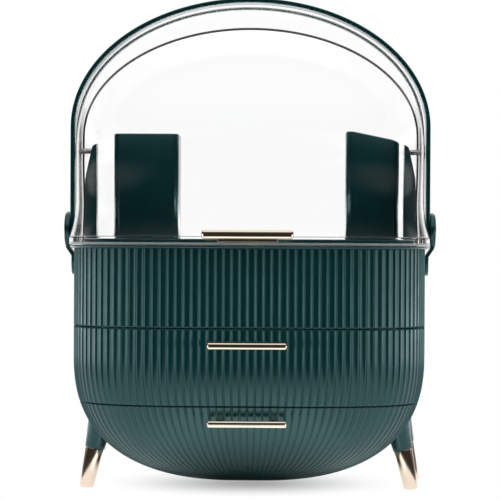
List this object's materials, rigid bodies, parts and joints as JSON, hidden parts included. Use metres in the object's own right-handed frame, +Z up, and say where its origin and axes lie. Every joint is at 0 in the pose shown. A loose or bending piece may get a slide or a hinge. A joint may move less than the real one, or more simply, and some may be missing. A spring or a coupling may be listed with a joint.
{
  "type": "makeup box",
  "caption": "Egg-shaped makeup box on splayed legs, with ribbed drawers, a clear lift-up dome over open bins and a strap handle.",
  "frame": {"origin": "middle of the footprint, on the surface that the leg tips stand on", "axes": "+X to the right seen from the front, +Y to the back (the drawers open towards -Y), +Z up"},
  "size_m": [0.3016, 0.2258, 0.3956],
  "materials": {
    "green_plastic": "glossy dark green moulded plastic",
    "clear_plastic": "clear moulded plastic",
    "gold": "bright pale rose-gold plating",
    "steel": "plain steel pins"
  },
  "bodies": {
    "base": {"housing": "green_plastic", "upper_body": "green_plastic", "display_deck": "green_plastic", "drawer_shelf": "green_plastic", "tall_bin_left": "green_plastic", "tall_bin_right": "green_plastic", "lid_ear_left": "green_plastic", "lid_ear_right": "green_plastic", "upper_runner_left": "green_plastic", "upper_runner_right": "green_plastic", "lower_runner_left": "green_plastic", "lower_runner_right": "green_plastic", "handle_bracket_left": "green_plastic", "handle_bracket_right": "green_plastic", "pivot_cap_left": "green_plastic", "pivot_cap_right": "green_plastic", "leg_socket_front_left": "green_plastic", "leg_socket_front_right": "green_plastic", "leg_socket_rear_left": "green_plastic", "leg_socket_rear_right": "green_plastic", "lid_rear_cover": "clear_plastic", "leg_tip_front_left": "gold", "leg_tip_front_right": "gold", "leg_tip_rear_left": "gold", "leg_tip_rear_right": "gold", "lid_pin_left": "steel", "lid_pin_right": "steel", "handle_pin_left": "steel", "handle_pin_right": "steel"},
    "lid": {"lid_front_cover": "clear_plastic", "lid_handle": "gold"},
    "carry_handle": {"carry_handle": "green_plastic"},
    "upper_drawer": {"upper_drawer_front": "green_plastic", "upper_drawer_tub": "green_plastic", "upper_drawer_handle": "gold"},
    "lower_drawer": {"lower_drawer_front": "green_plastic", "lower_drawer_tub": "green_plastic", "lower_drawer_handle": "gold"}
  },
  "joints": [
    {"name": "lid_hinge", "type": "hinge", "parent": "base", "child": "lid", "pos_m": [0, 0.0052, 0.2716], "axis": [-1, 0, 0], "range_deg": [0, 80]},
    {"name": "carry_handle_hinge", "type": "hinge", "parent": "base", "child": "carry_handle", "pos_m": [0, 0.0052, 0.208], "axis": [-1, 0, 0], "range_deg": [0, 35]},
    {"name": "upper_drawer_slide", "type": "slide", "parent": "base", "child": "upper_drawer", "axis": [0, -1, 0], "range_m": [0, 0.08]},
    {"name": "lower_drawer_slide", "type": "slide", "parent": "base", "child": "lower_drawer", "axis": [0, -1, 0], "range_m": [0, 0.08]}
  ]
}
